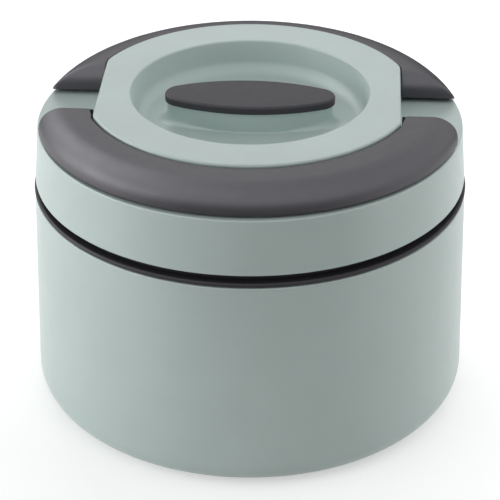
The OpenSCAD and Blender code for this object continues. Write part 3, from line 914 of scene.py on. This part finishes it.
def handle_grid(plan, level, edge_height, end_round):
    """A handle's skin as closed rows.

    Each row is the outline moved towards the spine. From the top of the spine: the crown, the edge, the
    upright wall with the floor of the notch, the step at the foot, the underside, the pocket's wall and its
    roof back to the spine.
    """
    bend = plan.sizes.foot_round
    step = plan.sizes.foot_step * edge_height
    undercut = plan.sizes.foot_undercut
    share = 1 - np.cos(np.radians(np.linspace(90, 0, 31)))
    rows = plan.outline + (plan.spine - plan.outline) * share[:, None, None]
    height = handle_height(plan, rows, level, edge_height, end_round)
    crown = np.concatenate([rows, height[..., None]], axis=-1)
    rim = crown[-1, :, 2]
    hooked = plan.outline[:, 1] > -plan.end - plan.sizes.notch_hook
    shelf = np.where(hooked, rim, np.minimum(rim, plan.crown - plan.sizes.notch_depth))
    notch = np.stack([np.column_stack([line, shelf]) for line in (plan.outline, plan.foot_outline)])
    inwards = plan.spine - plan.foot_outline
    inwards = inwards / np.linalg.norm(inwards, axis=1, keepdims=True)
    curve = chain(arc((bend, step + bend), bend, 180, 270, 5), (undercut, step), (undercut, 0))
    flat = plan.foot_outline + inwards * curve[:, :1, None]
    level_of = np.minimum(plan.underside(plan.foot_outline[:, 1]) + curve[:, 1:], shelf)
    wall = np.concatenate([flat, level_of[..., None]], axis=-1)
    under = flat[-1] + (plan.pocket - flat[-1]) * np.linspace(0, 1, 9)[1:, None, None]
    under = np.concatenate([under, plan.underside(under[..., 1:])], axis=-1)
    roof = np.full((len(plan.spine), 1), plan.low + plan.sizes.plate_depth)
    pocket = np.stack([np.hstack([plan.pocket, roof]), np.hstack([plan.spine, roof])])
    return hold(np.concatenate([crown, notch, wall, under, pocket]))


# Operators

class FOODJAR_OT_outer_shell(bpy.types.Operator):
    """Make the outer shell and the base cover"""
    bl_idname = "food_jar.outer_shell"
    bl_label = "Outer Shell and Base"
    bl_options = {"REGISTER", "UNDO"}

    def execute(self, context):
        jar = context.scene.food_jar.body
        make_piece("outer_shell_skin", [revolve(shell_profile(jar))], "jar", "sage_plastic", ["outer_shell"])
        make_piece("base_cover_skin", [revolve(base_cover_profile(jar))], "jar", "dark_plastic",
                   ["base_cover"], "collar_plastic")
        return {"FINISHED"}


class FOODJAR_OT_collar(bpy.types.Operator):
    """Make the collar with its bead and neck, and the thread ridges on the neck"""
    bl_idname = "food_jar.collar"
    bl_label = "Collar and Thread"
    bl_options = {"REGISTER", "UNDO"}

    def execute(self, context):
        jar = context.scene.food_jar.body
        make_piece("collar_skin", [revolve(collar_profile(jar))], "jar", "dark_plastic", ["collar"],
                   "collar_plastic")
        ridges = [thread_ridge(jar, start) for start in even_turns(THREAD_STARTS)]
        make_piece("thread_ridges", ridges, "jar", "dark_plastic", look="collar_plastic")
        return {"FINISHED"}


class FOODJAR_OT_bowl(bpy.types.Operator):
    """Make the steel bowl"""
    bl_idname = "food_jar.bowl"
    bl_label = "Steel Bowl"
    bl_options = {"REGISTER", "UNDO"}

    def execute(self, context):
        jar = context.scene.food_jar.body
        make_piece("inner_bowl_skin", [revolve(bowl_profile(jar))], "jar", "steel", ["inner_bowl"])
        return {"FINISHED"}


class FOODJAR_OT_lid(bpy.types.Operator):
    """Make the lid's cover and its seal"""
    bl_idname = "food_jar.lid"
    bl_label = "Lid Cover and Seal"
    bl_options = {"REGISTER", "UNDO"}

    def execute(self, context):
        lid = context.scene.food_jar.lid
        make_piece("lid_cover_skin", [lid_cover_grid(lid)], "lid", "sage_plastic", ["lid_cover"])
        make_piece("lid_seal_skin", [revolve(seal_profile(lid))], "seal_ring", "silicone", ["lid_seal"])
        return {"FINISHED"}


class FOODJAR_OT_grip_pad(bpy.types.Operator):
    """Make the bare oval pad on the web"""
    bl_idname = "food_jar.grip_pad"
    bl_label = "Grip Pad"
    bl_options = {"REGISTER", "UNDO"}

    def execute(self, context):
        lid = context.scene.food_jar.lid
        make_piece("grip_pad_skin", [pad_grid(lid)], "lid", "dark_plastic", ["grip_pad"], "pad_plastic")
        return {"FINISHED"}


class FOODJAR_OT_handles(bpy.types.Operator):
    """Make the fuller front handle and the rounder rear handle, which is the front one's plan turned round"""
    bl_idname = "food_jar.handles"
    bl_label = "Handles"
    bl_options = {"REGISTER", "UNDO"}

    def execute(self, context):
        jar = context.scene.food_jar
        sizes = jar.handles
        front_plan = HandlePlan(sizes, jar.lid, sizes.notch_width)
        front = handle_grid(front_plan, sizes.front_level, sizes.front_edge, 0)
        make_piece("front_handle_skin", [front], "front_bail", "dark_plastic", ["front_handle"])
        rear_plan = HandlePlan(sizes, jar.lid, 0)
        rear = handle_grid(rear_plan, sizes.rear_level, sizes.rear_edge, sizes.rear_end_round)
        make_piece("rear_handle_skin", [rear * [-1, -1, 1]], "rear_bail", "dark_plastic", ["rear_handle"])
        return {"FINISHED"}


class FOODJAR_OT_fittings(bpy.types.Operator):
    """Give the pieces that stay as they are in the frame their finishes"""
    bl_idname = "food_jar.fittings"
    bl_label = "Inner Pieces, Pins and Screws"
    bl_options = {"REGISTER", "UNDO"}

    def execute(self, context):
        for subpart in frame["record"]["subparts"]:
            node = frame["nodes"][subpart["node"]]
            node.data.materials.clear()
            node.data.materials.append(finish(subpart["material_slot"]))
        return {"FINISHED"}


class FOODJAR_OT_stage(bpy.types.Operator):
    """Set up the pale floor, the soft lamps, the cards and the camera"""
    bl_idname = "food_jar.stage"
    bl_label = "Stage"
    bl_options = {"REGISTER", "UNDO"}

    def execute(self, context):
        stage = context.scene.food_jar.stage
        make_floor(stage)
        make_world(stage)
        make_lamp("left_lamp", stage.left_power, turn=-75, rise=5, distance=0.8, size=(0.9, 0.5))
        make_lamp("high_lamp", stage.high_power, turn=-112, rise=42, distance=0.9, size=(0.9, 0.7),
                  diffuse=False)
        make_lamp("right_lamp", stage.right_power, turn=106, rise=14, distance=0.9, size=(1.3, 0.9),
                  mirrored=False)
        make_lamp("top_lamp", stage.top_power, turn=0, rise=84, distance=0.9, size=(1.2, 1.2),
                  mirrored=False)
        make_lamp("rear_lamp", stage.rear_power, turn=180, rise=24, distance=0.9, size=(1.0, 0.4),
                  mirrored=False)
        make_lamp("front_lamp", stage.front_power, turn=-45, rise=50, distance=1.0, size=(0.6, 0.6))
        make_card("front_card", half_x=0.5, half_y=0.6).location = (0, -0.8, CARD_GAP)
        make_card("rear_card", half_x=0.9, half_y=0.6).location = (0, 0.9, CARD_GAP)
        aim(make_card("upright_card", half_x=0.9, half_y=0.2), around(turn=180, rise=6, distance=1.2))
        make_camera(stage)
        context.scene.view_settings.view_transform = "Standard"
        return {"FINISHED"}


# Stage

def seen_rays(tree):
    """1 for camera, glossy and transmission rays, 0 for the rest."""
    path = tree.nodes.new("ShaderNodeLightPath")
    total = path.outputs["Is Camera Ray"]
    for name in ("Is Glossy Ray", "Is Transmission Ray"):
        add = tree.nodes.new("ShaderNodeMath")
        add.operation = "ADD"
        add.use_clamp = True
        tree.links.new(total, add.inputs[0])
        tree.links.new(path.outputs[name], add.inputs[1])
        total = add.outputs["Value"]
    return total


def between(tree, value, low, high):
    """A map of value, 0 to 1, to the range from low to high."""
    node = tree.nodes.new("ShaderNodeMapRange")
    node.inputs["To Min"].default_value = low
    node.inputs["To Max"].default_value = high
    tree.links.new(value, node.inputs["Value"])
    return node


def make_flat(name, half_x, half_y):
    """A flat rectangle round the origin that belongs to the stage."""
    mesh = bpy.data.meshes.new(name)
    corners = [(-half_x, -half_y, 0), (half_x, -half_y, 0), (half_x, half_y, 0), (-half_x, half_y, 0)]
    mesh.from_pydata(corners, [], [(0, 1, 2, 3)])
    flat = bpy.data.objects.new(name, mesh)
    bpy.context.scene.collection.objects.link(flat)
    return flat


def make_floor(stage):
    """A wide pale floor just under the foot; its glow is seen but lights nothing."""
    floor = make_flat("floor", FLOOR_HALF, FLOOR_HALF)
    floor.data.transform(Matrix.Translation((0, 0, -FLOOR_GAP)))
    graph = Graph("pale_floor")
    graph.tint(stage.floor_colour, graph.spread(graph.noise(3, 2), 0.995, 1.005))
    graph.set(Roughness=1.0, Specular_IOR_Level=0.0, Emission_Color=(1, 1, 1, 1))
    tree = graph.material.node_tree
    glow = between(tree, seen_rays(tree), 0, stage.floor_glow)
    graph.links.new(glow.outputs["Result"], graph.shader.inputs["Emission Strength"])
    floor.data.materials.append(graph.material)


def make_world(stage):
    """Even light from all round.

    Where it is seen or mirrored it is a white backdrop, graded along Y from the front to behind.
    """
    world = bpy.data.worlds.new("studio")
    world.use_nodes = True
    bpy.context.scene.world = world
    tree = world.node_tree
    background = tree.nodes["Background"]
    background.inputs["Color"].default_value = (1, 1, 1, 1)
    place = tree.nodes.new("ShaderNodeTexCoord")
    axes = tree.nodes.new("ShaderNodeSeparateXYZ")
    tree.links.new(place.outputs["Generated"], axes.inputs["Vector"])
    depth = between(tree, axes.outputs["Y"], stage.front_backdrop, stage.rear_backdrop)
    depth.inputs["From Min"].default_value = -1
    light = between(tree, seen_rays(tree), stage.ambient, 1)
    tree.links.new(depth.outputs["Result"], light.inputs["To Max"])
    tree.links.new(light.outputs["Result"], background.inputs["Strength"])


def around(turn, rise, distance):
    """Point at an angle from the front towards +X, an elevation and a distance from the middle of the jar."""
    turn = math.radians(turn)
    rise = math.radians(rise)
    level = distance * math.cos(rise)
    return np.array([level * math.sin(turn), -level * math.cos(turn), AIM_HEIGHT + distance * math.sin(rise)])


def aim(obj, place):
    """Puts a lamp or card at a place, facing the middle of the jar."""
    obj.location = place
    direction = np.array([0, 0, AIM_HEIGHT]) - place
    level = math.hypot(direction[0], direction[1])
    obj.rotation_euler = (math.atan2(level, -direction[2]), 0, math.atan2(-direction[0], direction[1]))


def make_lamp(name, watts, turn, rise, distance, size, diffuse=True, mirrored=True):
    """A soft rectangular lamp that faces the jar and isn't seen itself.

    Without diffuse it only gives gloss, and without mirrored it gives none.
    """
    lamp = bpy.data.lights.new(name, "AREA")
    lamp.shape = "RECTANGLE"
    lamp.size = size[0]
    lamp.size_y = size[1]
    lamp.energy = watts
    obj = bpy.data.objects.new(name, lamp)
    bpy.context.scene.collection.objects.link(obj)
    obj.visible_camera = False
    obj.visible_diffuse = diffuse
    obj.visible_glossy = mirrored
    aim(obj, around(turn, rise, distance))


def make_card(name, half_x, half_y):
    """A black card, which only reflections see."""
    card = make_flat(name, half_x, half_y)
    card.visible_camera = False
    card.visible_diffuse = False
    card.visible_shadow = False
    graph = Graph(name + "_black")
    graph.set(Base_Color=(0.01, 0.01, 0.01, 1), Roughness=1.0, Specular_IOR_Level=0.0)
    card.data.materials.append(graph.material)
    return card


def make_camera(stage):
    """The camera in front of the jar, above it and looking down at it."""
    data = bpy.data.cameras.new("camera")
    data.lens = stage.lens
    data.sensor_width = SENSOR_WIDTH
    camera = bpy.data.objects.new("camera", data)
    bpy.context.scene.collection.objects.link(camera)
    turn = stage.camera_turn
    away = stage.camera_distance
    camera.location = (away * math.sin(turn), -away * math.cos(turn), stage.camera_height)
    camera.rotation_euler = (math.pi / 2 - stage.camera_pitch, 0, turn)
    bpy.context.scene.camera = camera


class FOODJAR_PT_panel(bpy.types.Panel):
    """Lists the steps that make the food jar"""
    bl_label = "Food Jar"
    bl_idname = "FOODJAR_PT_panel"
    bl_space_type = "VIEW_3D"
    bl_region_type = "UI"
    bl_category = "Food Jar"

    def draw(self, context):
        for operator in OPERATORS:
            self.layout.operator(operator.bl_idname)


GROUPS = (JarSizes, LidSizes, HandleSizes, Finishes, StageSettings, FoodJar)
OPERATORS = (
    FOODJAR_OT_outer_shell,
    FOODJAR_OT_collar,
    FOODJAR_OT_bowl,
    FOODJAR_OT_lid,
    FOODJAR_OT_grip_pad,
    FOODJAR_OT_handles,
    FOODJAR_OT_fittings,
    FOODJAR_OT_stage,
)


def register():
    for cls in GROUPS + OPERATORS + (FOODJAR_PT_panel,):
        bpy.utils.register_class(cls)
    bpy.types.Scene.food_jar = PointerProperty(type=FoodJar)


def unregister():
    del bpy.types.Scene.food_jar
    for cls in reversed(GROUPS + OPERATORS + (FOODJAR_PT_panel,)):
        bpy.utils.unregister_class(cls)


def main():
    """Makes the jar and its stage."""
    register()
    bpy.ops.food_jar.outer_shell()
    bpy.ops.food_jar.collar()
    bpy.ops.food_jar.bowl()
    bpy.ops.food_jar.lid()
    bpy.ops.food_jar.grip_pad()
    bpy.ops.food_jar.handles()
    bpy.ops.food_jar.fittings()
    bpy.ops.food_jar.stage()


if __name__ == "__main__":
    main()
